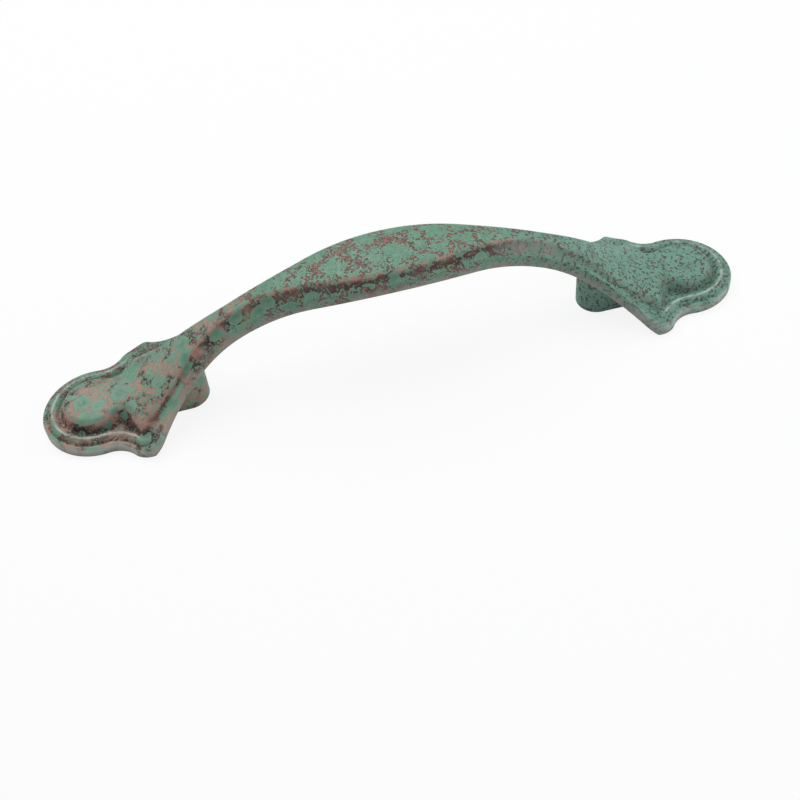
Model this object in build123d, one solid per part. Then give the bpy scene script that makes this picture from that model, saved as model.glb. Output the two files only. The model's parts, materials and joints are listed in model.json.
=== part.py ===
from build123d import *
import os
from math import cos, radians, sin, sqrt, tan

# Arch pull: one zinc casting. A bow rises from two spread feet, each a round lobe with a pair of
# pointed ears, and a screw boss stands inside each leg. Millimetres; z = 0 is the drawer front.

# Fixing
screw_spacing = 76.2
screw_drill = 3.45
screw_depth = 8.0
mouth_chamfer = 0.4
drill_point_angle = 118.0
boss_width = 7.4

# Side view: the open arch, flatter at its crest than over its shoulders, on straight legs
arch_height = 19.25
crest_radius = 71.6
crest_angle = 13.0
leg_angle = 39.6
heel_offset = 7.3
bow_thickness = 4.65
leg_thickness = 4.05

# Plan, places along x counted from the screw
lobe_offset = 16.25
lobe_radius = 9.35
ear_offset = 8.0
ear_reach = 9.05
ear_radius = 3.45
waist_radius = 4.9
neck_inset = 10.9
neck_half_width = 3.1
bow_half_width = 6.65

# Lower tier: a plate that follows the whole outline
plate_thickness = 2.2
flange_height = 2.05
plate_bevel = 0.35
toe_radius = 4.0

# Round bead that runs along the flange of each foot
bead_radius = 1.2
bead_inset = 1.9
bead_level = 1.65

# Upper tier: a panel with sloping facets on the bow that spreads into a field on each foot
panel_ledge = 0.3
facet_slope = 0.6
spread_inset = 8.1
flare_offset = 1.5
flare_ledge = 1.5
flare_slope = 0.53
panel_root = 0.8
bow_steps = 12
crown_radius = 18.0
field_radius = 6.1
field_slope = 0.4
saddle_height = 5.0
dome_radius = 22.0
bridge_half_width = 4.7
flap_offset = 6.9
flap_radius = 18.0
flap_inset = 5.6
flap_skew = 0.9

# Places that follow from the dimensions above
screw_x = screw_spacing / 2
heel_x = screw_x + heel_offset
leg = radians(leg_angle)
crest = radians(crest_angle)
lobe = Vector(screw_x + lobe_offset, 0)
ear = Vector(screw_x + ear_offset, ear_reach)
neck_x = screw_x - neck_inset
flare_x = screw_x + flare_offset
flap_x = screw_x + flap_offset
tip_x = lobe.X + lobe_radius
top = arch_height + bow_thickness


def arc(centre, start, end):
    """The shorter arc around a centre from one point to another."""
    middle = (start - centre) + (end - centre)
    return ThreePointArc(start, centre + middle.normalized() * (start - centre).length, end)


def touch(centre, radius, other):
    """The point of a circle on the line to another circle's centre."""
    return centre + (other - centre).normalized() * radius


def blend_centre(first, first_radius, second, second_radius, radius):
    """The centre of an arc that touches two circles from outside, on their +y side."""
    gap = second - first
    a = first_radius + radius
    b = second_radius + radius
    along = (a**2 - b**2 + gap.length**2) / (2 * gap.length)
    across = sqrt(a**2 - along**2)
    unit = gap.normalized()
    return first + unit * along + Vector(unit.Y, -unit.X) * across


def neck_arc():
    """Radius and centre of the hollow arc between the neck and the ear."""
    dx = ear.X - neck_x
    dy = ear.Y - neck_half_width
    radius = (dx**2 + dy**2 - ear_radius**2) / (2 * (dy + ear_radius))
    return radius, Vector(neck_x, neck_half_width + radius)


def bow_radius():
    """Radius of the two equal arcs that swell the bow between its necks."""
    swell = bow_half_width - neck_half_width
    return ((neck_x / 2) ** 2 + (swell / 2) ** 2) / swell


def foot_arcs(inset):
    """The foot's edge from ear to tip, as centre, start and end of arcs, set in by a distance."""
    neck_centre = neck_arc()[1]
    waist = blend_centre(lobe, lobe_radius, ear, ear_radius, waist_radius)
    ear_start = touch(ear, ear_radius - inset, neck_centre)
    ear_end = touch(ear, ear_radius - inset, waist)
    lobe_start = touch(lobe, lobe_radius - inset, waist)
    tip = Vector(tip_x - inset, 0)
    return [(ear, ear_start, ear_end), (waist, ear_end, lobe_start), (lobe, lobe_start, tip)]


def quarter_arcs():
    """A quarter of the plan: two arcs of the bow, the neck's arc and the foot."""
    neck_centre = neck_arc()[1]
    radius = bow_radius()
    turn = Vector(neck_x / 2, (bow_half_width + neck_half_width) / 2)
    neck = Vector(neck_x, neck_half_width)
    foot = foot_arcs(0)
    bow = (Vector(0, bow_half_width - radius), Vector(0, bow_half_width), turn)
    hollow = (Vector(neck_x, neck_half_width + radius), turn, neck)
    return [bow, hollow, (neck_centre, neck, foot[0][1])] + foot


def mirrored_arcs(arcs, x_sign, y_sign):
    """Arcs mirrored into another quarter, kept in running order."""
    flipped = []
    for points in arcs:
        flipped.append([Vector(p.X * x_sign, p.Y * y_sign) for p in points])
    if x_sign * y_sign > 0:
        return [arc(c, a, b) for c, a, b in flipped]
    return [arc(c, b, a) for c, a, b in flipped[::-1]]


def outline():
    """The plan of the whole casting, four mirrored quarters of tangent arcs."""
    loop = []
    for x_sign, y_sign in ((1, 1), (1, -1), (-1, -1), (-1, 1)):
        loop += mirrored_arcs(quarter_arcs(), x_sign, y_sign)
    return Face(Wire(loop))


def half_width(x):
    """Half the plan's width over the bow, the neck and the ear."""
    x = abs(x)
    radius = bow_radius()
    neck_radius, neck_centre = neck_arc()
    if x < neck_x / 2:
        return bow_half_width - radius + sqrt(radius**2 - x**2)
    if x < neck_x:
        return neck_half_width + radius - sqrt(radius**2 - (x - neck_x) ** 2)
    if x < touch(neck_centre, neck_radius, ear).X:
        return neck_half_width + neck_radius - sqrt(neck_radius**2 - (x - neck_x) ** 2)
    return ear.Y + sqrt(ear_radius**2 - (x - ear.X) ** 2)


class Rise:
    """A line over the arch in side view: crest arc, shoulder arc, then a straight leg.

    The crest stands over the arch by one thickness and the leg by another.
    """

    def __init__(self, crest_thickness, leg_thickness):
        self.apex = arch_height + crest_thickness
        self.crest_r = crest_radius + crest_thickness
        self.toe_x = heel_x + leg_thickness / sin(leg)
        self.crest_x = self.crest_r * sin(crest)
        self.crest_z = self.apex - self.crest_r * (1 - cos(crest))
        spare = (self.toe_x - self.crest_x) * tan(leg) - self.crest_z
        self.shoulder_r = spare * cos(leg) / (1 - cos(leg - crest))
        self.shoulder_x = self.crest_x - self.shoulder_r * sin(crest)
        self.shoulder_z = self.crest_z - self.shoulder_r * cos(crest)
        self.leg_x = self.shoulder_x + self.shoulder_r * sin(leg)
        self.leg_z = self.shoulder_z + self.shoulder_r * cos(leg)

    def height(self, x):
        """Height of the line at a place along x."""
        x = abs(x)
        if x < self.crest_x:
            return self.apex - self.crest_r + sqrt(self.crest_r**2 - x**2)
        if x < self.leg_x:
            return self.shoulder_z + sqrt(self.shoulder_r**2 - (x - self.shoulder_x) ** 2)
        return (self.toe_x - x) * tan(leg)

    def arcs(self):
        """The line's three arcs, from the left leg to the right leg."""
        mid_x = self.shoulder_x + self.shoulder_r * sin((leg + crest) / 2)
        mid = (mid_x, self.height(mid_x))
        crest_end = (self.crest_x, self.crest_z)
        leg_end = (self.leg_x, self.leg_z)
        left = [(-x, z) for x, z in (leg_end, mid, crest_end)]
        return [
            ThreePointArc(*left),
            ThreePointArc(left[2], (0, self.apex), crest_end),
            ThreePointArc(crest_end, mid, leg_end),
        ]


arch = Rise(0, 0)
boss_line = Rise(plate_thickness / 2, plate_thickness / 2)
plate_line = Rise(plate_thickness, plate_thickness)
crown_line = Rise(bow_thickness, leg_thickness)


def saddle_radius():
    """Radius of the hollow curve from the leg's top line down to level at the lobe's middle."""
    return (saddle_height - (crown_line.toe_x - lobe.X) * tan(leg)) / (1 / cos(leg) - 1)


def crown_height(x):
    """Height of the panel along its middle, from the bow to the lobe."""
    radius = saddle_radius()
    if abs(x) < lobe.X - radius * sin(leg):
        return crown_line.height(x)
    return saddle_height + radius - sqrt(radius**2 - (abs(x) - lobe.X) ** 2)


def space_under(line):
    """Everything under a line over the arch, between its two toes."""
    x, z, toe = line.leg_x, line.leg_z, line.toe_x
    floor = Polyline((x, z), (toe, 0), (toe, -1), (-toe, -1), (-toe, 0), (-x, z))
    return extrude(Plane.XZ * make_face(line.arcs() + [floor]), tip_x, both=True)


def plate():
    """The lower tier, bent along the arch with its upper edges bevelled."""
    corner = plate_line.toe_x - flange_height / tan(leg)
    run = toe_radius * tan(leg / 2)
    end = tip_x + 1
    flat = (corner + run, flange_height)
    ramp = (corner - run * cos(leg), flange_height + run * sin(leg))
    middle_x = flat[0] - toe_radius * sin(leg / 2)
    middle = (middle_x, flange_height + toe_radius * (1 - cos(leg / 2)))
    edges = arch.arcs() + plate_line.arcs()
    for sign in (1, -1):
        foot = [(arch.leg_x, arch.leg_z), (heel_x, 0), (end, 0), (end, flange_height), flat]
        edges.append(Polyline(*[(x * sign, z) for x, z in foot]))
        edges.append(ThreePointArc(*[(x * sign, z) for x, z in (flat, middle, ramp)]))
        rise = [ramp, (plate_line.leg_x, plate_line.leg_z)]
        edges.append(Line(*[(x * sign, z) for x, z in rise]))
    band = extrude(Plane.XZ * make_face(edges), tip_x, both=True)
    bent = extrude(outline(), top, dir=(0, 0, 1)) & band
    walls = bent.faces().filter_by(lambda f: abs(f.normal_at(f.center()).Z) < 0.01).edges()
    uppers = bent.faces().filter_by(lambda f: f.normal_at(f.center()).Z > 0.3).edges()
    rims = [e for e in uppers if any(e.is_same(w) for w in walls)]
    return chamfer(rims, plate_bevel)


def bead():
    """The round bead along one foot's flange, from ear to ear."""
    arcs = foot_arcs(bead_inset)
    loop = mirrored_arcs(arcs, 1, 1) + mirrored_arcs(arcs, 1, -1)
    path = Pos(0, 0, bead_level) * Wire(loop)
    start = Plane(origin=path @ 0, z_dir=path % 0)
    return sweep(start * Circle(bead_radius), path=path)


def panel_width(x):
    """Half the panel's width at its foot: a ledge widens down the leg, then the panel flares evenly."""
    start = screw_x - spread_inset
    held = min(abs(x), flare_x)
    share = max(0.0, (held - start) / (flare_x - start)) ** 2
    ledge = panel_ledge + (flare_ledge - panel_ledge) * share
    return half_width(held) - ledge + flare_slope * (abs(x) - held)


def bow_section(x):
    """A cross-section of the panel over the bow and legs, taller than its crowned top."""
    width = panel_width(x)
    shoulder = max(plate_line.height(x), flange_height)
    root = shoulder - panel_root
    roof = crown_height(x) + panel_root
    narrow = width - facet_slope * (roof - shoulder)
    right = [(width, root), (width, shoulder), (narrow, roof)]
    loop = right + [(-y, z) for y, z in right[::-1]]
    return Face(Wire.make_polygon([Vector(x, y, z) for y, z in loop], close=True))


def field_rise():
    """How far the flanks of a foot run up, from their root to past the crowned top."""
    return crown_height(flap_x) - flange_height + 2 * panel_root


def tapered(radius):
    """A round of the field with a sloping flank, by its radius at the flange."""
    foot = radius + field_slope * panel_root
    head = foot - field_slope * field_rise()
    cone = Cone(foot, head, field_rise(), align=(Align.CENTER, Align.CENTER, Align.MIN))
    return Pos(0, 0, flange_height - panel_root) * cone


def flaps():
    """The two pointed flaps of one foot: the leg's facets run out to two rounded outer edges."""
    end_x = screw_x - flap_inset + flap_radius
    corner = plate_line.toe_x - flange_height / tan(leg)
    run = loft([bow_section(x) for x in (flap_x, corner, end_x)], ruled=True)
    for skew in (flap_skew, -flap_skew):
        run = run & (Pos(screw_x - flap_inset, skew, 0) * tapered(flap_radius))
    return run


def field():
    """The round lobe of one foot's field and the bridge that joins it to the leg."""
    foot = bridge_half_width + field_slope * panel_root
    head = foot - field_slope * field_rise()
    shape = Polyline((foot, 0), (head, field_rise()), (-head, field_rise()), (-foot, 0), close=True)
    bridge = extrude(Plane.YZ * make_face(shape), lobe.X - flap_x, dir=(1, 0, 0))
    return Pos(lobe.X, 0, 0) * tapered(field_radius) + Pos(flap_x, 0, flange_height - panel_root) * bridge


def crown():
    """The space under the crowned top, a wide arc run along the bow, legs and lobes."""
    radius = saddle_radius()
    end_x = tip_x + 1
    drop = dome_radius - sqrt(dome_radius**2 - (end_x - lobe.X) ** 2)
    middle_x = (end_x + lobe.X) / 2
    middle_drop = dome_radius - sqrt(dome_radius**2 - (middle_x - lobe.X) ** 2)
    ramp_x = lobe.X - radius * sin(leg)
    hollow_x = lobe.X - radius * sin(leg / 2)
    ramp = (ramp_x, crown_height(ramp_x))
    hollow = (hollow_x, crown_height(hollow_x))
    level = (lobe.X, saddle_height)
    dome = [level, (middle_x, saddle_height - middle_drop), (end_x, saddle_height - drop)]
    leg_end = (crown_line.leg_x, crown_line.leg_z)
    edges = []
    for sign, order in ((-1, -1), (1, 1)):
        side = [
            Line(*[(x * sign, z) for x, z in (leg_end, ramp)][::order]),
            ThreePointArc(*[(x * sign, z) for x, z in (ramp, hollow, level)][::order]),
            ThreePointArc(*[(x * sign, z) for x, z in dome][::order]),
        ]
        edges += side[::order] + (crown_line.arcs() if sign < 0 else [])
    path = Plane.XZ * Wire(edges)
    reach = ear.Y + ear_radius + 1
    sag = crown_radius - sqrt(crown_radius**2 - reach**2)
    depth = sag + 2 * bow_thickness
    over = ThreePointArc((-reach, -sag), (0, 0), (reach, -sag))
    under = Polyline((reach, -sag), (reach, -depth), (-reach, -depth), (-reach, -sag))
    start = Plane(origin=path @ 0, x_dir=(0, 1, 0), z_dir=path % 0)
    return sweep(start * make_face([over, under]), path=path)


def mirrored(piece, plane=Plane.YZ):
    """A piece, and the same on the other side of a plane."""
    return piece + mirror(piece, about=plane)


def panel():
    """The upper tier: facets on the bow, a field on each foot, under one crowned top."""
    bow = loft([bow_section(flap_x * i / bow_steps) for i in range(-bow_steps, bow_steps + 1)])
    return (bow + mirrored(flaps() + field())) & crown()


def boss():
    """The oblong screw boss under a leg, rounded on its inner end."""
    radius = boss_width / 2
    nose = Cylinder(radius, top, align=(Align.CENTER, Align.CENTER, Align.MIN))
    body = Box(heel_offset, boss_width, top, align=(Align.MIN, Align.CENTER, Align.MIN))
    return (Pos(screw_x, 0, 0) * (nose + body)) & space_under(boss_line)


def screw_hole():
    """A blind tapping hole with a chamfered mouth and a drill point."""
    radius = screw_drill / 2
    end = screw_depth + radius / tan(radians(drill_point_angle / 2))
    mouth = [(0, 0), (radius + mouth_chamfer, 0), (radius, mouth_chamfer)]
    profile = Polyline(*mouth, (radius, screw_depth), (0, end), close=True)
    return Pos(screw_x, 0, 0) * revolve(Plane.XZ * make_face(profile), Axis.Z)


upper = (mirrored(bead()) + panel()) - space_under(boss_line)
pull = plate() + mirrored(boss()) + upper
pull = pull - mirrored(screw_hole())
os.makedirs("parts", exist_ok=True)
export_step(pull, "parts/pull_body.step")
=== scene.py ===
import json
import logging
import math
from dataclasses import dataclass
from enum import Enum
from functools import partial, reduce

import bmesh
import bpy
import numpy as np
from mathutils import Matrix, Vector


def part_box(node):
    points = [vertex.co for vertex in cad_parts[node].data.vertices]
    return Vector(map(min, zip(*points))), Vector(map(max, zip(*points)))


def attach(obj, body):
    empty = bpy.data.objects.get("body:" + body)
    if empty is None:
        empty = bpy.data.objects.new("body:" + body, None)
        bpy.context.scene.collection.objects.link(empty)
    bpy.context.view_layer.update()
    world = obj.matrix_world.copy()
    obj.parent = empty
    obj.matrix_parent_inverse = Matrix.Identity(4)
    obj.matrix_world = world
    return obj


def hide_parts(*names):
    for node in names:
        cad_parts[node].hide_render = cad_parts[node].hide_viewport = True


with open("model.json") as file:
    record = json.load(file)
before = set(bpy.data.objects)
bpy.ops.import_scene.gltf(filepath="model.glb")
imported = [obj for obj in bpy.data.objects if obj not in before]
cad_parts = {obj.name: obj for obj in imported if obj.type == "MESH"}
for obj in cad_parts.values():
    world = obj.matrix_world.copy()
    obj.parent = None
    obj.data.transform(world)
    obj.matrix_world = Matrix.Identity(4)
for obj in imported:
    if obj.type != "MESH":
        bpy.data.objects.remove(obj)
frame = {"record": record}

log = logging.getLogger("arch_pull")

Array = np.ndarray
Point = tuple[float, float]
Place = tuple[float, float, float]
Colour = tuple[float, float, float]
Piece = bpy.types.Object
Material = bpy.types.Material
Socket = bpy.types.NodeSocket
Value = Socket | float | tuple[float, ...]
Inputs = dict[int | str, Value]

# Shapes are worked out in millimetres and become metres when a mesh is made.
MM = 0.001
NODE = "pull_body"
BODY = "root"

# A length beyond the pull's own, a slack for comparing, and the gap in metres that joins two points
FAR = 1.0e3
TINY = 1.0e-6
WELD = 1.0e-7


class Side(Enum):
    """The two ends of the pull, by the sign of x."""

    LEFT = -1.0
    RIGHT = 1.0


class SurfaceMark(Enum):
    """The kinds of surface mark, by the names of the mesh's attributes; they place wear, grime, painted
    shade and painted highlights.
    """

    GROOVE = "groove"
    RIDGE = "ridge"
    LEE = "lee"
    SIDE = "side"
    RUB = "rub"
    WALL = "wall"


Marks = dict[SurfaceMark, Array]


def smooth_max(a: Array, b: Array, reach: float | Array) -> Array:
    """The larger of two heights, with their meeting line filled by a small round.

    Within reach of each other the result is raised by (reach - gap)^2 / (4 reach).

    Args:
        a: The first heights.
        b: The second heights.
        reach: The gap below which the two blend.

    Returns:
        The blended heights.
    """
    gap = np.maximum(reach - np.abs(a - b), 0.0)
    return np.maximum(a, b) + gap**2 / (4.0 * reach)


def smooth_min(a: Array, b: Array, reach: float | Array) -> Array:
    """The smaller of two heights, with their meeting line rounded off."""
    return -smooth_max(-a, -b, reach)


def ease(t: Array) -> Array:
    """A smooth step from 0 to 1 as t goes from 0 to 1."""
    t = np.clip(t, 0.0, 1.0)
    return t * t * (3.0 - 2.0 * t)


def bulge(radius: float, off: Array) -> Array:
    """A circle's height over its centre, the root of r^2 - off^2, and 0 beyond it."""
    return np.sqrt(np.maximum(radius**2 - off**2, 0.0))


def hump(t: Array) -> Array:
    """A bell of height 1 at t = 0 that falls as exp(-t^2)."""
    return np.exp(-np.square(t))


@dataclass(frozen=True)
class Arc:
    """One arc of the outline, given by its centre and its two ends."""

    centre: Point
    start: Point
    end: Point

    @property
    def radius(self) -> float:
        """The arc's radius."""
        return math.dist(self.centre, self.start)

    def distance(self, x: Array, y: Array) -> Array:
        """How far points lie from the arc.

        Args:
            x: Places along the pull.
            y: Places across it.

        Returns:
            The distance, or a large value for points outside the arc's sector.
        """
        cx, cy = self.centre
        ux, uy = self.start[0] - cx, self.start[1] - cy
        vx, vy = self.end[0] - cx, self.end[1] - cy
        turn = math.copysign(1.0, ux * vy - uy * vx)
        px, py = x - cx, y - cy
        inside = (turn * (ux * py - uy * px) >= -TINY) & (turn * (px * vy - py * vx) >= -TINY)
        return np.where(inside, np.abs(np.hypot(px, py) - self.radius), FAR)

    def height(self, x: Array) -> Array:
        """The arc's y over each x: its centre plus or minus the root of r^2 - (x - cx)^2."""
        sign = math.copysign(1.0, self.start[1] - self.centre[1])
        return self.centre[1] + sign * bulge(self.radius, x - self.centre[0])


def towards(centre: Point, radius: float, other: Point) -> Point:
    """The point of a circle on the line to another point."""
    share = radius / math.dist(centre, other)
    return (centre[0] + (other[0] - centre[0]) * share, centre[1] + (other[1] - centre[1]) * share)


@dataclass(frozen=True)
class Plan:
    """The casting seen from above: bow, necks, ears and lobes, a quarter of it in six tangent arcs."""

    screw_x: float
    tip_x: float
    ear_y: float
    lobe_offset: float = 16.25
    ear_offset: float = 8.0
    ear_radius: float = 3.45
    waist_radius: float = 4.9
    neck_inset: float = 10.9
    neck_half: float = 3.1
    bow_half: float = 6.65

    @property
    def lobe(self) -> Point:
        """The centre of the foot's round lobe."""
        return (self.screw_x + self.lobe_offset, 0.0)

    @property
    def lobe_radius(self) -> float:
        """The lobe's radius, from its centre to the tip."""
        return self.tip_x - self.lobe[0]

    @property
    def ear(self) -> Point:
        """The centre of the ear's round point."""
        return (self.screw_x + self.ear_offset, self.ear_y - self.ear_radius)

    @property
    def neck_x(self) -> float:
        """The place of the narrowest part."""
        return self.screw_x - self.neck_inset

    def waist(self) -> Point:
        """Finds the hollow arc that touches the lobe and the ear from outside.

        Returns:
            The arc's centre.
        """
        (lx, ly), (ex, ey) = self.lobe, self.ear
        gap = math.dist(self.lobe, self.ear)
        a = self.lobe_radius + self.waist_radius
        b = self.ear_radius + self.waist_radius
        along = (a * a - b * b + gap * gap) / (2.0 * gap)
        across = math.sqrt(a * a - along * along)
        ux, uy = (ex - lx) / gap, (ey - ly) / gap
        return (lx + ux * along + uy * across, ly + uy * along - ux * across)

    def neck(self) -> Point:
        """Finds the hollow arc from the neck to the ear.

        Returns:
            The arc's centre.
        """
        dx = self.ear[0] - self.neck_x
        dy = self.ear[1] - self.neck_half
        radius = (dx * dx + dy * dy - self.ear_radius**2) / (2.0 * (dy + self.ear_radius))
        return (self.neck_x, self.neck_half + radius)

    def foot_arcs(self) -> list[Arc]:
        """Draws the foot's edge.

        Returns:
            The arcs from the ear to the tip.
        """
        waist = self.waist()
        ear_start = towards(self.ear, self.ear_radius, self.neck())
        ear_end = towards(self.ear, self.ear_radius, waist)
        lobe_start = towards(self.lobe, self.lobe_radius, waist)
        return [
            Arc(self.ear, ear_start, ear_end),
            Arc(waist, ear_end, lobe_start),
            Arc(self.lobe, lobe_start, (self.tip_x, 0.0)),
        ]

    def bow_arcs(self) -> list[Arc]:
        """Draws the edge of the bow and neck.

        Returns:
            The arcs from the middle to the ear.
        """
        swell = self.bow_half - self.neck_half
        radius = ((self.neck_x / 2.0) ** 2 + (swell / 2.0) ** 2) / swell
        turn = (self.neck_x / 2.0, (self.bow_half + self.neck_half) / 2.0)
        narrow = (self.neck_x, self.neck_half)
        return [
            Arc((0.0, self.bow_half - radius), (0.0, self.bow_half), turn),
            Arc((self.neck_x, self.neck_half + radius), turn, narrow),
            Arc(self.neck(), narrow, self.foot_arcs()[0].start),
        ]

    def arcs(self) -> list[Arc]:
        """The whole quarter, in running order."""
        return self.bow_arcs() + self.foot_arcs()

    def half_width(self, x: Array) -> Array:
        """Half the width over each x, read from the arc that spans it.

        Args:
            x: Places along the pull.

        Returns:
            The half-width at each place.
        """
        x = np.abs(x)
        width = np.zeros_like(x)
        for arc in self.arcs():
            spans = (x >= arc.start[0]) & (x <= arc.end[0])
            width = np.where(spans, arc.height(x), width)
        return width

    def edge_distance(self, x: Array, y: Array, arcs: list[Arc]) -> Array:
        """The distance to the nearest of some arcs, mirrored into all four quarters."""
        return np.min([arc.distance(np.abs(x), np.abs(y)) for arc in arcs], axis=0)


@dataclass(frozen=True)
class SideLine:
    """A line over the arch in side view: a flat crest arc, tighter shoulders and straight legs."""

    apex: float
    crest_radius: float
    toe_x: float
    crest_angle: float = math.radians(13.0)
    leg_angle: float = math.radians(39.6)

    def height(self, x: Array) -> Array:
        """The line's height over each x, in its three stretches.

        Args:
            x: Places along the pull.

        Returns:
            The height of the crest arc, the shoulder arc or the straight leg there.
        """
        x = np.abs(x)
        leg, crest = self.leg_angle, self.crest_angle
        crest_x = self.crest_radius * math.sin(crest)
        crest_z = self.apex - self.crest_radius * (1.0 - math.cos(crest))
        spare = (self.toe_x - crest_x) * math.tan(leg) - crest_z
        radius = spare * math.cos(leg) / (1.0 - math.cos(leg - crest))
        middle_x = crest_x - radius * math.sin(crest)
        middle_z = crest_z - radius * math.cos(crest)
        leg_x = middle_x + radius * math.sin(leg)
        top = self.apex - self.crest_radius + bulge(self.crest_radius, x)
        shoulder = middle_z + bulge(radius, x - middle_x)
        straight = (self.toe_x - x) * math.tan(leg)
        return np.select([x < crest_x, x < leg_x], [top, shoulder], straight)


@dataclass(frozen=True)
class Relief:
    """The sizes of the casting's tiers, beads and rounded edges."""

    arch_height: float = 19.25
    crest_radius: float = 71.6
    heel_offset: float = 7.3
    bow_thickness: float = 4.645
    leg_thickness: float = 4.05
    plate_thickness: float = 2.2
    flange_height: float = 2.05
    rim_round: float = 0.45
    sole_round: float = 0.25
    toe_blend: float = 1.2
    bead_radius: float = 1.2
    bead_inset: float = 1.9
    bead_level: float = 1.65
    bead_fall: float = 4.0
    bead_blend: float = 0.35
    panel_ledge: float = 0.3
    spread_inset: float = 8.1
    flare_offset: float = 1.5
    flare_ledge: float = 1.5
    flare_slope: float = 0.53
    facet_slope: float = 0.6
    field_slope: float = 0.4
    field_radius: float = 6.1
    crown_radius: float = 18.0
    saddle_height: float = 5.0
    dome_radius: float = 22.0
    flap_radius: float = 18.0
    flap_inset: float = 5.6
    flap_skew: float = 0.9
    bridge_half: float = 4.7
    notch_blend: float = 4.0
    ridge_blend: float = 0.6
    field_blend: float = 1.6
    crease_blend: float = 0.6


@dataclass(frozen=True)
class MarkReach:
    """How far the surface marks reach, in height between two layers, and the sole's share of them."""

    panel: float = 0.4
    crease_start: float = 0.5
    crease_fade: float = 1.5
    gutter: float = 0.9
    crest_start: float = 0.77
    crest_fade: float = 0.03
    ridge: float = 0.35
    lee_start: float = 0.75
    lee: float = 0.5
    side: float = 0.8
    rim: float = 0.15
    sole_share: float = 0.3


@dataclass(frozen=True)
class Heights:
    """The layers of the top at each point, from which its height and its wear marks are read."""

    spread: Array
    edge: Array
    deck: Array
    bead: Array
    flank: Array
    crown: Array
    panel: Array
    top: Array


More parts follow.
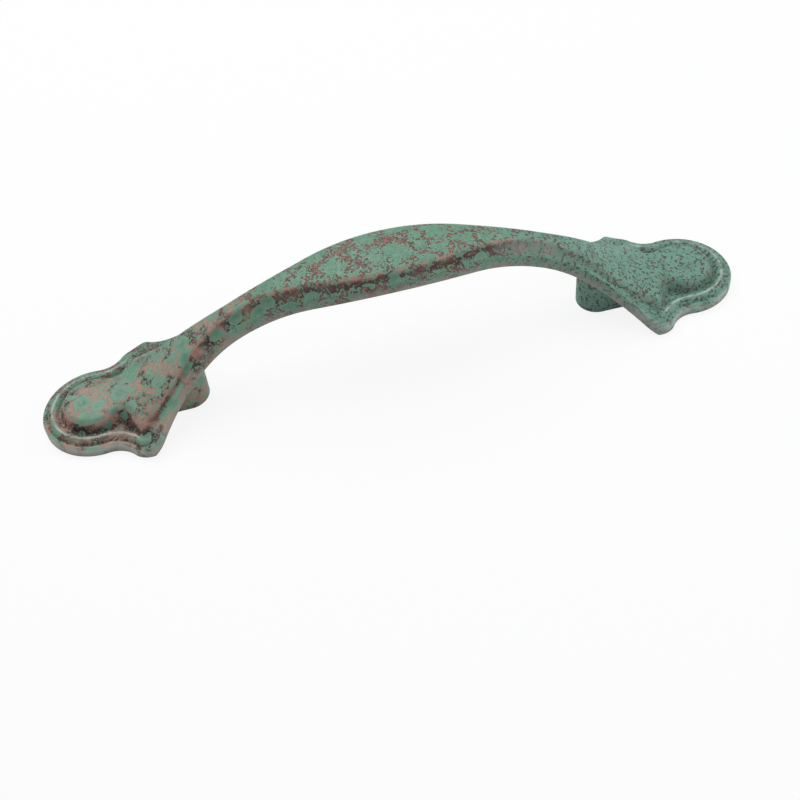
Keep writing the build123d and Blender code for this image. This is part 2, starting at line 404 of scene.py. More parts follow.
@dataclass
class Casting:
    """The pull's body: bow and feet as one closed surface."""

    plan: Plan
    relief: Relief
    wear: MarkReach = MarkReach()
    bow_step: float = 0.4
    neck_step: float = 0.25
    ear_step: float = 0.15
    lobe_step: float = math.radians(1.1)
    across: int = 121
    rim_crowding: float = 0.8
    wall_rows: int = 6
    sole_columns: int = 15

    def line(self, over_crest: float, over_leg: float) -> SideLine:
        """The side line that stands over the arch by one thickness at the crest and one at the leg."""
        toe = self.plan.screw_x + self.relief.heel_offset + over_leg / math.sin(SideLine.leg_angle)
        return SideLine(self.relief.arch_height + over_crest, self.relief.crest_radius + over_crest, toe)

    def underside(self, x: Array) -> Array:
        """The height of the arch under the bow, and 0 under the feet."""
        return np.maximum(self.line(0.0, 0.0).height(x), 0.0)

    def crown_height(self, x: Array) -> Array:
        """The height along the middle: over the bow, down a hollow saddle, then over the lobe's dome.

        Args:
            x: Places along the pull.

        Returns:
            The height of the middle line.
        """
        x = np.abs(x)
        size = self.relief
        line = self.line(size.bow_thickness, size.leg_thickness)
        lobe_x = self.plan.lobe[0]
        leg = line.leg_angle
        rise = size.saddle_height - (line.toe_x - lobe_x) * math.tan(leg)
        radius = rise / (1.0 / math.cos(leg) - 1.0)
        hollow = size.saddle_height + radius - bulge(radius, x - lobe_x)
        dome = size.saddle_height - size.dome_radius + bulge(size.dome_radius, x - lobe_x)
        ramp_x = lobe_x - radius * math.sin(leg)
        return np.select([x < ramp_x, x < lobe_x], [line.height(x), hollow], dome)

    def panel_width(self, x: Array) -> Array:
        """Half the panel's width at its foot.

        A ledge beside it widens down the leg as the square of the way gone; past that it flares evenly.

        Args:
            x: Places along the pull.

        Returns:
            The half-width at each place.
        """
        size = self.relief
        start = self.plan.screw_x - size.spread_inset
        end = self.plan.screw_x + size.flare_offset
        held = np.minimum(np.abs(x), end)
        share = np.clip((held - start) / (end - start), 0.0, 1.0) ** 2
        ledge = size.panel_ledge + (size.flare_ledge - size.panel_ledge) * share
        return self.plan.half_width(held) - ledge + size.flare_slope * (np.abs(x) - held)

    def heights(self, x: Array, y: Array) -> Heights:
        """All layers of the top at some points.

        The deck is the bent plate with a rounded rim. The bead is a round bar at a set distance from
        the foot's edge. The flank rises from the panel's foot line at a fixed slope: facets along the
        bow, then the larger of a flap, a round lobe and the bridge between the two. The panel is the
        lower of the flank and the crown.

        Args:
            x: Places along the pull.
            y: Places across it.

        Returns:
            The layers and the top over them.
        """
        size, plan = self.relief, self.plan
        ax, ay = np.abs(x), np.abs(y)
        plate = self.line(size.plate_thickness, size.plate_thickness).height(x)
        plate = smooth_max(plate, np.full_like(plate, size.flange_height), size.toe_blend)
        edge = np.minimum(plan.edge_distance(x, y, plan.arcs()), size.rim_round)
        deck = plate - size.rim_round + bulge(size.rim_round, size.rim_round - edge)

        inset = plan.edge_distance(x, y, plan.foot_arcs())
        t = np.abs(inset - size.bead_inset) / size.bead_radius
        bar = size.bead_level + size.bead_radius * bulge(1.0, t)
        bead = bar - size.bead_fall * np.maximum(t - 1.0, 0.0)

        facet = plate + (self.panel_width(x) - ay) / size.facet_slope
        past = np.maximum(ax - plan.screw_x + size.flap_inset, 0.0)
        reach = size.flap_radius - np.hypot(past, ay + size.flap_skew)
        flap = size.flange_height + reach / size.field_slope
        leg = smooth_min(facet, flap, size.ridge_blend)
        reach = size.field_radius - np.hypot(ax - plan.lobe[0], ay)
        lobe = size.flange_height + reach / size.field_slope
        bridge = size.flange_height + (size.bridge_half - ay) / size.field_slope
        bridge = np.where(ax < plan.lobe[0], bridge, -FAR)
        flank = smooth_max(smooth_max(leg, lobe, size.notch_blend), bridge, size.notch_blend)

        middle = self.crown_height(x)
        sag = size.crown_radius - bulge(size.crown_radius, ay)
        slope = np.gradient(middle[:, 0], x[:, 0])[:, None]
        crown = middle - sag * np.sqrt(1.0 + slope**2)
        spread = ease((ax - plan.neck_x) / (plan.lobe[0] - plan.neck_x))
        blend = size.ridge_blend + (size.field_blend - size.ridge_blend) * spread
        panel = smooth_min(flank, crown, blend)
        low = smooth_max(deck, bead, size.bead_blend)
        top = smooth_max(low, panel, size.crease_blend)
        return Heights(spread, edge, deck, bead, flank, crown, panel, top)

    def stations(self) -> Array:
        """Spaces the cross-sections, closest at the feet and even in angle round the lobes.

        Returns:
            Their places along the pull.
        """
        lobe_x, radius = self.plan.lobe[0], self.plan.lobe_radius
        ear_x = self.plan.ear[0] - self.plan.ear_radius
        neck_x = self.plan.neck_x
        bow = np.linspace(0.0, neck_x, round(neck_x / self.bow_step), endpoint=False)
        neck = np.linspace(neck_x, ear_x, round((ear_x - neck_x) / self.neck_step), endpoint=False)
        ear = np.linspace(ear_x, lobe_x, round((lobe_x - ear_x) / self.ear_step), endpoint=False)
        angle = np.linspace(0.0, math.pi / 2.0, round(math.pi / 2.0 / self.lobe_step))
        right = np.concatenate([bow, neck, ear, lobe_x + radius * np.sin(angle)])
        return np.concatenate([-right[:0:-1], right])

    def section_places(self) -> Array:
        """Shares of the half-width across the top, closer together near the rims."""
        t = np.linspace(-1.0, 1.0, self.across)
        return (1.0 - self.rim_crowding) * t + self.rim_crowding * np.sin(t * math.pi / 2.0)

    def build(self) -> Piece:
        """Makes the body as closed cross-sections carried along the pull.

        Each section runs over the top, down one wall, back along the sole and up the other wall.

        Returns:
            The finished object, with its surface marks as attributes.
        """
        size = self.relief
        x = self.stations()[:, None]
        width = self.plan.half_width(x)
        y = width * self.section_places()[None, :]
        xs = np.broadcast_to(x, y.shape)
        layers = self.heights(xs, y)
        sole = self.underside(x)
        marks = self.surface_marks(layers)

        lift = np.linspace(0.0, math.pi / 2.0, self.wall_rows)[None, :]
        bend = np.minimum(size.sole_round, width / 2.0)
        wall_y = width - bend + bend * np.cos(lift)
        wall_z = sole + size.sole_round - size.sole_round * np.sin(lift)
        flat = np.linspace(1.0, -1.0, self.sole_columns)[None, 1:-1]
        sole_y = (width - bend) * flat
        sole_z = np.broadcast_to(sole, sole_y.shape)
        ring_y = np.concatenate([y, wall_y, sole_y, -wall_y[:, ::-1]], axis=1)
        ring_z = np.concatenate([layers.top, wall_z, sole_z, wall_z[:, ::-1]], axis=1)
        ring_x = np.broadcast_to(x, ring_y.shape)
        spare = (y.shape[0], ring_y.shape[1] - y.shape[1])
        wall = np.ones(self.wall_rows)
        bare = np.concatenate([wall, np.full(self.sole_columns - 2, self.wear.sole_share), wall])
        edge = {mark: np.broadcast_to(bare * float(mark is SurfaceMark.WALL), spare) for mark in marks}
        shades = {mark: np.concatenate([share, edge[mark]], axis=1) for mark, share in marks.items()}
        grid = np.stack([ring_x, ring_y, ring_z], axis=-1)
        return surface("pull_casting", grid, shades)

    def surface_marks(self, layers: Heights) -> Marks:
        """Where paint gathers, where it wears, and where shade and highlights are painted on the top, each
        from 0 to 1.

        Args:
            layers: The layers of the top.

        Returns:
            GROOVE: the creases where the panel and the bead meet the deck.
            RIDGE: the line where the flank meets the crown.
            LEE: the strip just below that line.
            SIDE: the sloping flanks.
            RUB: the bead's crest and the plate's rim, worn pale with a painted highlight.
            WALL: nothing here; it marks the plate's upright edge and, faintly, its sole.
        """
        wear = self.wear
        step = layers.panel - layers.deck
        bar = layers.bead - layers.deck
        below = layers.crown - layers.flank
        above = ease(step / wear.panel)
        crease = (1.0 - ease((np.abs(step) - wear.crease_start) / wear.crease_fade)) * layers.spread
        gutter = hump(bar / wear.gutter) * (1.0 - above)
        crest = ease((bar - wear.crest_start) / wear.crest_fade) * (1.0 - above)
        return {
            SurfaceMark.GROOVE: np.maximum(crease, gutter),
            SurfaceMark.RIDGE: hump(below / wear.ridge) * above,
            SurfaceMark.LEE: hump((below - wear.lee_start) / wear.lee) * above,
            SurfaceMark.SIDE: ease(below / wear.side) * above,
            SurfaceMark.RUB: np.maximum(crest, hump(layers.edge / wear.rim)),
            SurfaceMark.WALL: np.zeros_like(above),
        }


@dataclass
class ScrewBoss:
    """The oblong boss under one leg, with its chamfered screw hole."""

    body: Casting
    side: Side
    hole_radius: float
    half_width: float = 3.7
    edge_round: float = 0.3
    chamfer: float = 0.4
    bury: float = 1.0
    sole_gap: float = 0.02
    hole_lip: float = 0.4
    around: int = 96
    rows: int = 24
    round_rows: int = 6
    face_rows: int = 8

    def outline(self) -> tuple[Array, Array]:
        """The boss in plan: a half circle round the screw, drawn out to the heel.

        Returns:
            x and y of points all the way round, seen from the screw.
        """
        angle = np.linspace(0.0, 2.0 * math.pi, self.around, endpoint=False)
        run = self.body.relief.heel_offset + self.bury
        c, s = np.cos(angle), np.sin(angle)
        to_heel = run / np.maximum(c, TINY)
        to_flat = self.half_width / np.maximum(np.abs(s), TINY)
        reach = np.where(c <= 0.0, self.half_width, np.minimum(to_heel, to_flat))
        return reach * c, reach * s

    def build(self) -> Piece:
        """Makes the boss as rings: down its wall, round its edge, in over its sole and into the hole.

        Its sole lies a hair above the foot's, so that the two share no plane where the boss runs in.

        Returns:
            The finished object.
        """
        ox, oy = self.outline()
        length = np.hypot(ox, oy)
        ux, uy = ox / length, oy / length
        screw_x = self.body.plan.screw_x
        top = self.body.underside(screw_x + ox) + self.bury
        fall = np.linspace(1.0, 0.0, self.rows)[:, None]
        wall_z = self.edge_round + (top - self.edge_round)[None, :] * fall
        wall_r = np.broadcast_to(length, wall_z.shape)
        turn = np.linspace(0.0, math.pi / 2.0, self.round_rows)[1:, None]
        round_r = length - self.edge_round * (1.0 - np.cos(turn))
        lift = self.edge_round - self.sole_gap
        round_z = self.sole_gap + lift * (1.0 - np.sin(turn)) + 0.0 * length
        mouth = self.hole_radius + self.chamfer
        share = np.linspace(0.0, 1.0, self.face_rows)[1:, None]
        face_r = (length - self.edge_round) * (1.0 - share) + mouth * share
        face_z = np.full_like(face_r, self.sole_gap)
        hole_r = np.array([self.hole_radius, self.hole_radius])[:, None] + 0.0 * length
        hole_z = np.array([self.chamfer, self.chamfer + self.hole_lip])[:, None] + 0.0 * length
        radius = np.concatenate([wall_r, round_r, face_r, hole_r])
        z = np.concatenate([wall_z, round_z, face_z, hole_z])
        x = self.side.value * (screw_x + radius * ux)
        grid = np.stack([x, radius * uy, z], axis=-1)
        marks = {mark: np.zeros(z.shape) for mark in SurfaceMark}
        return surface(f"screw_boss_{self.side.name.lower()}", grid, marks)


@dataclass
class ScrewThread:
    """The tapped wall of one screw hole."""

    plan: Plan
    side: Side
    radius: float
    depth: float
    pitch: float = 0.794
    tooth: float = 0.33
    start: float = 0.3
    flank_gain: float = 1.3
    root_share: float = 0.15
    tip_half_angle: float = math.radians(59.0)
    around: int = 48
    steps: int = 10
    tip_rows: int = 6

    def build(self) -> Piece:
        """Makes the thread: a radius that rises and falls once per pitch of a helix, then a point.

        Returns:
            The finished object.
        """
        turns = (self.depth - self.start) / self.pitch
        angle = np.linspace(0.0, 2.0 * math.pi, self.around, endpoint=False)[None, :]
        z = np.linspace(self.start, self.depth, round(turns * self.steps))[:, None]
        phase = np.mod(z / self.pitch - angle / (2.0 * math.pi), 1.0)
        wave = 1.0 - np.abs(2.0 * phase - 1.0)
        fade = ease((z - self.start) / self.pitch) * ease((self.depth - z) / self.pitch)
        tooth = np.clip(self.flank_gain * wave - self.root_share, 0.0, 1.0)
        wall = self.radius + self.tooth * tooth * fade
        point = np.linspace(1.0, 0.0, self.tip_rows)[1:, None]
        tip_r = self.radius * point + 0.0 * angle
        tip_z = self.depth + self.radius * (1.0 - point) / math.tan(self.tip_half_angle) + 0.0 * angle
        radius = np.concatenate([wall, tip_r])
        height = np.concatenate([z + 0.0 * angle, tip_z])
        x = self.side.value * (self.plan.screw_x + radius * np.cos(angle))
        grid = np.stack([x, radius * np.sin(angle), height], axis=-1)
        return surface(f"screw_thread_{self.side.name.lower()}", grid, {}, inward=True)


def surface(name: str, grid: Array, marks: Marks, inward: bool = False) -> Piece:
    """Makes a mesh of quads over a grid of points whose second direction closes on itself.

    Args:
        name: The piece's name.
        grid: Points in millimetres, rows by columns by 3.
        marks: Values per point, kept as attributes of the mesh.
        inward: Whether the surface faces the middle of its rings, as a hole's wall does.

    Returns:
        The new object, linked to the scene, smooth, at the origin.
    """
    rows, columns = grid.shape[:2]
    index = np.arange(rows * columns).reshape(rows, columns)
    ahead = np.roll(index, -1, axis=1)
    quads = np.stack([index[:-1], ahead[:-1], ahead[1:], index[1:]], axis=-1).reshape(-1, 4)
    mesh = bpy.data.meshes.new(name)
    mesh.from_pydata((grid.reshape(-1, 3) * MM).tolist(), [], quads.tolist())
    for mark, values in marks.items():
        layer = mesh.attributes.new(mark.value, "FLOAT", "POINT")
        layer.data.foreach_set("value", np.ascontiguousarray(values, dtype=np.float32).ravel())
    work = bmesh.new()
    work.from_mesh(mesh)
    bmesh.ops.remove_doubles(work, verts=work.verts, dist=WELD)
    bmesh.ops.recalc_face_normals(work, faces=work.faces)
    if inward:
        bmesh.ops.reverse_faces(work, faces=work.faces)
    work.to_mesh(mesh)
    work.free()
    mesh.polygons.foreach_set("use_smooth", [True] * len(mesh.polygons))
    mesh.update()
    piece = bpy.data.objects.new(name, mesh)
    bpy.context.scene.collection.objects.link(piece)
    return piece


@dataclass(frozen=True)
class Grain:
    """One kind of noise: its scale per millimetre, its octaves and how strong the fine ones are."""

    scale: float
    detail: float = 3.0
    rough: float = 0.55


@dataclass(frozen=True)
class Ramp:
    """A smooth step: the first value at low, the last one at high."""

    low: float
    high: float
    first: float = 0.0
    last: float = 1.0


@dataclass(frozen=True)
class Patches:
    """Noise taken through a smooth step."""

    grain: Grain
    ramp: Ramp


class Tree:
    """A shorthand for building a material's nodes."""

    noise_mean: float = 0.5
    push_rough: float = 0.5
    cell_grain: float = 1.5
    cell_push: float = 0.35
    spot_slope: float = 0.4

    def __init__(self, name: str) -> None:
        """Starts an empty material with a Principled shader.

        Args:
            name: The material's name.
        """
        self.material = bpy.data.materials.new(name)
        self.material.use_nodes = True
        self.nodes = self.material.node_tree.nodes
        self.shader = self.nodes["Principled BSDF"]

    def feed(self, socket: Socket, value: Value) -> None:
        """Links an output to a socket, or sets the socket to a plain value.

        Args:
            socket: The input.
            value: The output, number or row of numbers that it takes.
        """
        if isinstance(value, Socket):
            self.material.node_tree.links.new(value, socket)
        else:
            socket.default_value = value

    def add(self, kind: str, inputs: Inputs, **settings: object) -> bpy.types.Node:
        """Adds a node.

        Args:
            kind: The node's type.
            inputs: What its sockets take, by their place or name.
            settings: Its properties.

        Returns:
            The node.
        """
        node = self.nodes.new(kind)
        for name, value in settings.items():
            setattr(node, name, value)
        for key, value in inputs.items():
            self.feed(node.inputs[key], value)
        return node

    def shade(self, **inputs: Value) -> None:
        """Feeds the Principled shader's sockets, named with lines for spaces."""
        for name, value in inputs.items():
            self.feed(self.shader.inputs[name.replace("_", " ")], value)

    def sums(self, operation: str, *values: Value) -> Socket:
        """A Math node over up to three values."""
        return self.add("ShaderNodeMath", dict(enumerate(values)), operation=operation).outputs[0]

    def moves(self, operation: str, place: Value, other: Value) -> Socket:
        """A Vector Math node over a place and a second place, or the factor of a SCALE."""
        inputs = {0: place, "Scale" if operation == "SCALE" else 1: other}
        return self.add("ShaderNodeVectorMath", inputs, operation=operation).outputs[0]

    def times(self, *values: Value) -> Socket:
        """The product of two or more values, taken in order."""
        return reduce(partial(self.sums, "MULTIPLY"), values)

    def most(self, a: Value, b: Value) -> Socket:
        """The larger of two values."""
        return self.sums("MAXIMUM", a, b)

    def less(self, a: Value, b: Value) -> Socket:
        """The first value less the second."""
        return self.sums("SUBTRACT", a, b)

    def span(self, value: Value, ramp: Ramp) -> Socket:
        """A value taken through a smooth step."""
        inputs = dict(enumerate((value, ramp.low, ramp.high, ramp.first, ramp.last)))
        return self.add("ShaderNodeMapRange", inputs, interpolation_type="SMOOTHSTEP").outputs[0]

    def blend(self, share: Value, a: Value, b: Value) -> Socket:
        """A colour between two colours."""
        a, b = ((*ink, 1.0) if isinstance(ink, tuple) else ink for ink in (a, b))
        return self.add("ShaderNodeMix", {0: share, 6: a, 7: b}, data_type="RGBA").outputs[2]

    def between(self, share: Value, a: Value, b: Value) -> Socket:
        """A number between two numbers."""
        return self.add("ShaderNodeMix", {0: share, 2: a, 3: b}, data_type="FLOAT").outputs[0]

    def grains(self, place: Value, grain: Grain) -> bpy.types.Node:
        """A noise node over a place in millimetres."""
        sizes = {"Scale": grain.scale, "Detail": grain.detail, "Roughness": grain.rough}
        return self.add("ShaderNodeTexNoise", {"Vector": place, **sizes})

    def noise(self, place: Value, grain: Grain) -> Socket:
        """Fractal noise between about 0 and 1."""
        return self.grains(place, grain).outputs[0]

    def broken(self, place: Value, patches: Patches) -> Socket:
        """Soft patches over a place."""
        return self.span(self.noise(place, patches.grain), patches.ramp)

    def shifted(self, place: Value, scale: float, amount: float) -> Socket:
        """Pushes a place about by noise, so that patterns on it get ragged borders.

        Args:
            place: The place in millimetres.
            scale: The noise's scale per millimetre.
            amount: The push in millimetres.

        Returns:
            The new place.
        """
        noise = self.grains(place, Grain(scale, rough=self.push_rough))
        centred = self.moves("SUBTRACT", noise.outputs[1], (self.noise_mean,) * 3)
        return self.moves("ADD", place, self.moves("SCALE", centred, amount))

    def millimetres(self) -> Socket:
        """The piece's own coordinates, in millimetres."""
        return self.moves("SCALE", self.add("ShaderNodeTexCoord", {}).outputs["Object"], 1.0 / MM)

    def mark(self, wear: SurfaceMark) -> Socket:
        """One of the mesh's surface marks."""
        return self.add("ShaderNodeAttribute", {}, attribute_name=wear.value).outputs["Fac"]

    def axis(self, place: Value, index: int) -> Socket:
        """One coordinate of a place: 0 along the pull, 1 across it."""
        return self.add("ShaderNodeSeparateXYZ", {0: place}).outputs[index]

    def cells(self, place: Value, pitch: float, feature: str) -> bpy.types.Node:
        """A Voronoi node of uneven cells, which gives distances as shares of their pitch."""
        moved = self.shifted(place, self.cell_grain / pitch, self.cell_push * pitch)
        return self.add("ShaderNodeTexVoronoi", {"Vector": moved, "Scale": 1.0 / pitch}, feature=feature)

    def spots(self, place: Value, pitch: float, radius: float) -> Socket:
        """Scattered round spots: above 0 within a radius, a share of their pitch, of each centre."""
        far = self.cells(place, pitch, "F1").outputs["Distance"]
        return self.times(self.less(radius, far), self.spot_slope)

    def borders(self, place: Value, pitch: float) -> Socket:
        """How far a place lies, in millimetres, from the borders between cells of one pitch."""
        return self.times(self.cells(place, pitch, "DISTANCE_TO_EDGE").outputs["Distance"], pitch)


@dataclass(frozen=True)
class VerdigrisPaint:
    """Mottled sea-green paint over a red-brown ground, dark with grime and painted shade in its grooves,
    worn on its ridges, and with painted highlights on its beads and rims.

    A drift is a noise's scale per millimetre and its push in millimetres. A radius is a share of its pitch.
    """

    green: Colour = (0.096, 0.235, 0.150)
    cool_green: Colour = (0.113, 0.262, 0.206)
    pale_green: Colour = (0.235, 0.335, 0.275)
    # The deep green is both a random tone and the painted shade of near grooves and lees
    deep_green: Colour = (0.072, 0.160, 0.118)
    maroon: Colour = (0.200, 0.100, 0.088)
    salmon: Colour = (0.450, 0.250, 0.205)
    black: Colour = (0.020, 0.014, 0.012)
    # Pale worn metal and painted highlight on beads and rims
    rubbed_and_highlit: Colour = (0.500, 0.520, 0.480)
    grey: Colour = (0.070, 0.078, 0.072)
    ashen: Colour = (0.300, 0.250, 0.230)
    roughness: Ramp = Ramp(0.0, 1.0, 0.65, 0.5)
    gloss: float = 0.3
    bump_strength: float = 0.5
    bump_height: float = 0.12

    # Where each kind of paint lies, in millimetres along and across the pull
    zone_drift: Point = (0.16, 10.0)
    left_along: Ramp = Ramp(-18.0, -32.0)
    left_across: Ramp = Ramp(6.0, 0.0)
    right_along: Ramp = Ramp(14.0, 34.0)
    # The near side, turned from the key lamp, where grooves and lees take painted shade
    near_across: Ramp = Ramp(4.0, -3.0, 0.3, 1.0)

    # How thick the green lies
    ragged_drift: Point = (2.0, 0.3)
    ragged_grain: Grain = Grain(1.9, 2.0, 0.6)
    broad_grain: Grain = Grain(0.22, 2.0)
    broad_weight: float = 0.3
    area_pitch: float = 4.2
    area_limit: float = 1.2
    area_weight: float = 0.15
    bow_loss: float = 0.035
    crumb_grain: Grain = Grain(2.2, 2.0, 0.6)
    crumb_loss: float = 0.51
    blob_pitch: float = 3.7
    blob_radius: float = 0.45
    flank_loss: float = 0.03
    flank_pitch: float = 3.2
    flank_radius: float = 0.52
    fleck_pitch: float = 1.4
    fleck_weight: float = 0.35
    fleck_gain: float = 0.005
    # Thinning of the green in grooves and lees, stronger on the near side as painted shade
    groove_thinning_and_shade: float = 0.05
    right_thinning_and_shade: Ramp = Ramp(0.0, 1.0, 1.0, 0.25)
    coat_edge: Ramp = Ramp(-0.006, 0.010)

    # The green's shades
    even: Patches = Patches(Grain(0.35, 5.0), Ramp(0.28, 0.52))
    speckle: Patches = Patches(Grain(1.1, 4.0), Ramp(0.5, 0.72, 0.0, 0.6))
    rim_ramp: Ramp = Ramp(0.16, 0.02, 0.0, 0.55)
    right_rim: Ramp = Ramp(0.0, 1.0, 1.0, 0.6)
    # How much painted shade the near grooves and lees take, less on the right foot
    right_painted_shade: Ramp = Ramp(0.0, 1.0, 0.45, 0.15)

    # The ground's shades
    worn: Patches = Patches(Grain(0.3, 4.0), Ramp(0.38, 0.53))
    left_worn: Ramp = Ramp(0.0, 1.0, 0.3, 1.0)
    border_ramp: Ramp = Ramp(-0.20, -0.01)
    worn_border: Ramp = Ramp(0.3, 1.0, 0.75, 0.15)
    right_grey: float = 0.8

    # Worn ridges, grime with painted shade in near grooves, bare edges, and worn rims with painted
    # highlights
    line_patches: Patches = Patches(Grain(0.45, 4.0, 0.7), Ramp(0.40, 0.56))
    right_line: Ramp = Ramp(0.0, 1.0, 0.9, 0.25)
    line_share: float = 0.75
    # Grime and painted shade in grooves and lees, mostly on the near side: black in broken patches, less on
    # the right foot
    dirt_and_shade_patches: Patches = Patches(Grain(1.2, 3.0), Ramp(0.42, 0.56))
    right_dirt_and_shade: Ramp = Ramp(0.0, 1.0, 1.0, 0.45)
    lee_dirt_and_shade: float = 0.25
    ground_dirt_and_shade: float = 0.85
    coat_dirt_and_shade: float = 0.15
    bare_rise: Ramp = Ramp(0.0, 0.5, 0.0, 0.75)
    bare_fall: Ramp = Ramp(0.6, 1.0, 1.0, 0.3)
    bare_patches: Patches = Patches(Grain(0.5, 4.0), Ramp(0.38, 0.58, 0.2, 0.9))
    # Pale worn patches with painted highlights on the feet's beads and rims
    rub_and_highlight_patches: Patches = Patches(Grain(0.35, 3.0), Ramp(0.36, 0.60, 0.1, 0.6))
    rub_and_highlight_along: Ramp = Ramp(38.0, 48.0)

    def material(self) -> Material:
        """Builds the paint's material."""
        return PaintTree(self).finish()


class PaintTree(Tree):
    """The paint's nodes, over a place with its shares of each foot's kind and of grime with painted shade.
    """

    def __init__(self, paint: VerdigrisPaint) -> None:
        """Finds where each kind of paint lies, with wandering borders.

        Args:
            paint: The paint's values.
        """
        super().__init__("verdigris_paint")
        self.paint = paint
        self.place = self.millimetres()
        moved = self.shifted(self.place, *paint.zone_drift)
        self.along = self.axis(moved, 0)
        across = self.axis(moved, 1)
        end = self.span(self.along, paint.left_along)
        self.left = self.times(end, self.span(across, paint.left_across))
        self.right = self.span(self.along, paint.right_along)
        # The near side, turned from the key lamp, gets painted shade in its grooves and lees
        self.near = self.span(across, paint.near_across)

    def cover(self) -> Socket:
        """Works out how thick the green lies.

        The bow has broad areas with ragged bare clusters. The left foot and the flanks have round
        blobs, and the right foot an even coat with fine flecks. Grooves and lees are thinner, and more so
        on the near side as painted shade, baring the dark ground.

        Returns:
            The kinds blended: above 0 is paint, below 0 bare ground.
        """
        paint, place = self.paint, self.place
        fine = self.noise(self.shifted(place, *paint.ragged_drift), paint.ragged_grain)
        ragged = self.less(fine, self.noise_mean)
        broad = self.less(self.noise(place, paint.broad_grain), self.noise_mean)
        areas = self.sums("MINIMUM", self.borders(place, paint.area_pitch), paint.area_limit)
        bow = self.sums("MULTIPLY_ADD", areas, paint.area_weight, ragged)
        bow = self.sums("MULTIPLY_ADD", broad, paint.broad_weight, bow)
        bow = self.less(bow, paint.bow_loss)
        crumbs = self.less(self.noise(place, paint.crumb_grain), paint.crumb_loss)
        blobs = self.most(self.spots(place, paint.blob_pitch, paint.blob_radius), crumbs)
        spots = self.spots(place, paint.flank_pitch, paint.flank_radius)
        flank = self.most(self.less(ragged, paint.flank_loss), spots)
        small = self.borders(place, paint.fleck_pitch)
        flecks = self.sums("MULTIPLY_ADD", small, paint.fleck_weight, ragged)
        flecks = self.sums("ADD", flecks, paint.fleck_gain)
        cover = self.between(self.left, bow, blobs)
        cover = self.between(self.mark(SurfaceMark.SIDE), cover, flank)
        cover = self.between(self.right, cover, flecks)
        # Paint is thinner in grooves and lees, and more so on the near side as painted shade, baring the
        # dark ground
        lee = self.times(self.mark(SurfaceMark.LEE), paint.groove_thinning_and_shade)
        thinning_and_shade = self.sums("MULTIPLY_ADD", self.mark(SurfaceMark.GROOVE), paint.groove_thinning_and_shade, lee)
        thinning_and_shade = self.times(thinning_and_shade, self.span(self.right, paint.right_thinning_and_shade), self.near)
        return self.less(cover, thinning_and_shade)

    def coat(self, cover: Socket) -> Socket:
        """Colours the green: cooler on the right foot, pale at its borders, and darkened with painted shade
        in grooves and lees on the near side.

        Args:
            cover: How thick it lies.

        Returns:
            Its colour.
        """
        paint = self.paint
        green = self.blend(self.right, paint.green, paint.cool_green)
        green = self.blend(self.broken(self.place, paint.even), paint.deep_green, green)
        rim = self.most(self.span(cover, paint.rim_ramp), self.broken(self.place, paint.speckle))
        rim = self.times(rim, self.span(self.right, paint.right_rim))
        green = self.blend(rim, green, paint.pale_green)
        # Painted shade: grooves and lees on the near side darken to the deep green, less on the right foot
        shade = self.most(self.mark(SurfaceMark.GROOVE), self.mark(SurfaceMark.LEE))
        shade = self.times(shade, self.near, self.span(self.right, paint.right_painted_shade))
        return self.blend(shade, green, paint.deep_green)

    def line(self) -> Socket:
        """How far the ridge is worn, in broken stretches and less on the right foot."""
        line = self.times(self.mark(SurfaceMark.RIDGE), self.span(self.right, self.paint.right_line))
        return self.times(line, self.broken(self.place, self.paint.line_patches))

    def dirt_and_shade(self) -> Socket:
        """Works out how much grime and painted shade lie in grooves and below ridges, mostly on the near
        side, in broken patches.

        Returns:
            The share of grime and painted shade.
        """
        lee = self.times(self.mark(SurfaceMark.LEE), self.paint.lee_dirt_and_shade)
        dirt_and_shade = self.most(self.mark(SurfaceMark.GROOVE), lee)
        dirt_and_shade = self.times(dirt_and_shade, self.span(self.right, self.paint.right_dirt_and_shade), self.near)
        return self.times(dirt_and_shade, self.broken(self.place, self.paint.dirt_and_shade_patches))

    def ground(self, cover: Socket, line: Socket, dirt_and_shade: Socket) -> Socket:
        """Colours the ground: maroon worn to salmon, black along the green, grey on the right foot, and
        black with grime and painted shade.

        Args:
            cover: How thick the green lies.
            line: How far the ridge is worn.
            dirt_and_shade: How much grime and painted shade lie here.

        Returns:
            The ground's colour.
        """
        paint = self.paint
        worn = self.broken(self.place, paint.worn)
        worn = self.most(self.times(worn, self.span(self.left, paint.left_worn)), line)
        ground = self.blend(worn, paint.maroon, paint.salmon)
        border = self.times(self.span(cover, paint.border_ramp), self.span(worn, paint.worn_border))
        ground = self.blend(border, ground, paint.black)
        ground = self.blend(self.times(self.right, paint.right_grey), ground, paint.grey)
        return self.blend(self.times(dirt_and_shade, paint.ground_dirt_and_shade), ground, paint.black)

    def bare(self) -> Socket:
        """Works out how ashen the plate's upright edge is, and the flanks where the right foot begins.

        Returns:
            The share of ashen metal.
        """
        rise = self.span(self.right, self.paint.bare_rise)
        begins = self.times(rise, self.span(self.right, self.paint.bare_fall))
        edge = self.most(self.mark(SurfaceMark.WALL), self.times(self.mark(SurfaceMark.SIDE), begins))
        return self.times(edge, self.broken(self.place, self.paint.bare_patches))

    def rub(self) -> Socket:
        """How far the feet's beads and rims are worn pale with a painted highlight, in patches."""
        feet = self.span(self.sums("ABSOLUTE", self.along), self.paint.rub_and_highlight_along)
        return self.times(self.mark(SurfaceMark.RUB), self.broken(self.place, self.paint.rub_and_highlight_patches), feet)

    def finish(self) -> Material:
        """Lays the ground, the green and the wear over each other.

        Returns:
            The material.
        """
        paint = self.paint
        cover = self.cover()
        coated = self.span(cover, paint.coat_edge)
        line = self.line()
        dirt_and_shade = self.dirt_and_shade()
        colour = self.blend(coated, self.ground(cover, line, dirt_and_shade), self.coat(cover))
        colour = self.blend(self.bare(), colour, paint.ashen)
        colour = self.blend(self.times(line, paint.line_share), colour, paint.salmon)
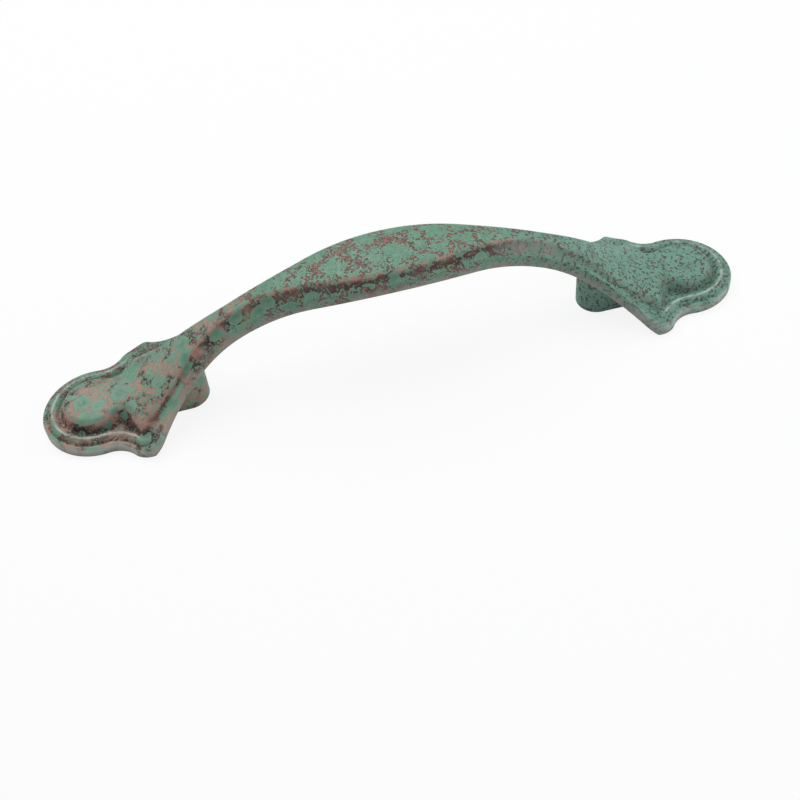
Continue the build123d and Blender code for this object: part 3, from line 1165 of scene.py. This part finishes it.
        # Grime and painted shade darken the whole colour a little in near grooves and lees
        colour = self.blend(self.times(dirt_and_shade, paint.coat_dirt_and_shade), colour, paint.black)
        # The feet's beads and rims are worn pale and given painted highlights
        colour = self.blend(self.rub(), colour, paint.rubbed_and_highlit)
        rough = self.span(coated, paint.roughness)
        relief = {"Strength": paint.bump_strength, "Distance": paint.bump_height * MM, "Height": coated}
        bump = self.add("ShaderNodeBump", relief).outputs[0]
        self.shade(Base_Color=colour, Roughness=rough, Specular_IOR_Level=paint.gloss, Normal=bump)
        return self.material


@dataclass(frozen=True)
class BareZinc:
    """The bright casting alloy inside the tapped holes."""

    colour: Colour = (0.46, 0.46, 0.48)
    dull: Colour = (0.33, 0.33, 0.35)
    bright: Patches = Patches(Grain(2.5, 4.0), Ramp(0.35, 0.65))
    rough: Patches = Patches(Grain(4.0), Ramp(0.3, 0.7, 0.3, 0.5))

    def material(self) -> Material:
        """Builds the metal, with uneven brightness and gloss.

        Returns:
            The material.
        """
        tree = Tree("bare_zinc")
        place = tree.millimetres()
        colour = tree.blend(tree.broken(place, self.bright), self.dull, self.colour)
        tree.shade(Base_Color=colour, Metallic=1.0, Roughness=tree.broken(place, self.rough))
        return tree.material


def aim(thing: Piece, place: Place, right: Array, ahead: Array) -> None:
    """Sets up a camera or a lamp.

    Args:
        thing: The camera or lamp.
        place: Its place in millimetres.
        right: The direction to its right.
        ahead: The direction that it faces.
    """
    up = np.cross(right, ahead)
    turn = Matrix([(*row,) for row in np.stack([right, up, -ahead], axis=1)]).to_4x4()
    turn.translation = [value * MM for value in place]
    thing.matrix_world = turn
    bpy.context.scene.collection.objects.link(thing)


@dataclass(frozen=True)
class ViewPoint:
    """Where the camera stands, in millimetres and degrees, and its lens."""

    place: Place = (-24.85, -148.0, 154.4)
    azimuth: float = 9.35
    elevation: float = 48.44
    right_fall: float = -0.075
    focal_pixels: float = 1185.1
    picture_pixels: float = 800.0
    sensor: float = 36.0
    nearest: float = 5.0

    def build(self) -> Piece:
        """Makes the camera: it looks down along the pull's far side and leans a little.

        Returns:
            The camera object.
        """
        az, el = math.radians(self.azimuth), math.radians(self.elevation)
        ahead = np.array([math.sin(az) * math.cos(el), math.cos(az) * math.cos(el), -math.sin(el)])
        level = np.array([math.cos(az), -math.sin(az), 0.0])
        over = np.cross(level, ahead)
        lean = math.asin(self.right_fall / over[2])
        right = level * math.cos(lean) + over * math.sin(lean)
        data = bpy.data.cameras.new("photo_camera")
        data.lens = self.focal_pixels * self.sensor / self.picture_pixels
        data.sensor_width = self.sensor
        data.clip_start = self.nearest * MM
        camera = bpy.data.objects.new("photo_camera", data)
        aim(camera, self.place, right, ahead)
        bpy.context.scene.camera = camera
        return camera


@dataclass(frozen=True)
class Studio:
    """A pale floor and soft light."""

    floor_half: float = 2000.0
    floor_colour: Colour = (0.93, 0.94, 0.935)
    floor_roughness: float = 0.9
    glow: Colour = (0.970, 0.975, 0.972)
    glow_share: float = 0.9
    sky: float = 0.32
    key_power: float = 1.9
    key_size: float = 500.0
    key_place: Place = (-60.0, 170.0, 400.0)
    fill_power: float = 0.7
    fill_size: float = 300.0
    fill_place: Place = (380.0, -60.0, 200.0)

    def floor(self) -> Piece:
        """Makes the floor: a plain square at z = 0, mostly white to the eye so that shadows stay faint.

        Returns:
            The floor.
        """
        h = self.floor_half * MM
        mesh = bpy.data.meshes.new("floor")
        mesh.from_pydata([(-h, -h, 0), (h, -h, 0), (h, h, 0), (-h, h, 0)], [], [(0, 1, 2, 3)])
        piece = bpy.data.objects.new("floor", mesh)
        bpy.context.scene.collection.objects.link(piece)
        tree = Tree("pale_floor")
        colour = (*self.floor_colour, 1.0)
        tree.shade(Base_Color=colour, Roughness=self.floor_roughness, Specular_IOR_Level=0.0)
        path = tree.add("ShaderNodeLightPath", {})
        seen = tree.most(path.outputs["Is Camera Ray"], path.outputs["Is Glossy Ray"])
        seen = tree.most(seen, path.outputs["Is Transmission Ray"])
        glow = tree.add("ShaderNodeEmission", {"Color": (*self.glow, 1.0)}).outputs[0]
        shaders = {0: tree.times(seen, self.glow_share), 1: tree.shader.outputs[0], 2: glow}
        mix = tree.add("ShaderNodeMixShader", shaders).outputs[0]
        tree.feed(tree.nodes["Material Output"].inputs["Surface"], mix)
        mesh.materials.append(tree.material)
        return piece

    def lamp(self, name: str, power: float, size: float, place: Place) -> Piece:
        """Makes a soft round lamp that faces the pull.

        Args:
            name: The lamp's name.
            power: Its power in watts.
            size: Its width in millimetres.
            place: Its place in millimetres.

        Returns:
            The lamp.
        """
        data = bpy.data.lights.new(name, "AREA")
        data.shape = "DISK"
        data.size = size * MM
        data.energy = power
        lamp = bpy.data.objects.new(name, data)
        ahead = -np.array(place) / np.linalg.norm(place)
        right = np.cross(ahead, (0.0, 0.0, 1.0))
        aim(lamp, place, right / np.linalg.norm(right), ahead)
        return lamp

    def light(self) -> None:
        """Sets an even sky, one large lamp above and behind, and a smaller one from the right."""
        world = bpy.data.worlds.new("studio")
        bpy.context.scene.world = world
        world.use_nodes = True
        back = world.node_tree.nodes["Background"]
        back.inputs["Color"].default_value = (1.0, 1.0, 1.0, 1.0)
        back.inputs["Strength"].default_value = self.sky
        self.lamp("key", self.key_power, self.key_size, self.key_place)
        self.lamp("fill", self.fill_power, self.fill_size, self.fill_place)


def dress(piece: Piece, material: Material) -> None:
    """Gives a piece its finish and fixes it to the pull.

    Args:
        piece: The piece.
        material: Its finish.
    """
    piece.data.materials.clear()
    piece.data.materials.append(material)
    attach(piece, BODY)
    log.info("%s: %d faces", piece.name, len(piece.data.polygons))


def main() -> None:
    """Builds the pull over its frame, then the studio."""
    logging.basicConfig(level=logging.INFO, format="%(message)s")
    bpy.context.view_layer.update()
    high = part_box(NODE)[1]
    mounts = {mount["name"]: mount for mount in frame["record"]["mounts"]}
    hole = mounts["screw_right"]
    plan = Plan(screw_x=hole["pos_m"][0] / MM, tip_x=high[0] / MM, ear_y=high[1] / MM)
    casting = Casting(plan, Relief())
    paint = VerdigrisPaint().material()
    zinc = BareZinc().material()
    body = casting.build()
    dress(body, paint)
    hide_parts(NODE)
    radius = hole["dims"]["r_mm"]
    depth = hole["dims"]["length_mm"] + ScrewBoss.chamfer
    for side in Side:
        dress(ScrewBoss(casting, side, radius).build(), paint)
        dress(ScrewThread(plan, side, radius, depth).build(), zinc)
    studio = Studio()
    studio.floor()
    studio.light()
    ViewPoint().build()
    bpy.context.scene.view_settings.view_transform = "Standard"
    bpy.context.view_layer.update()


if __name__ == "__main__":
    main()
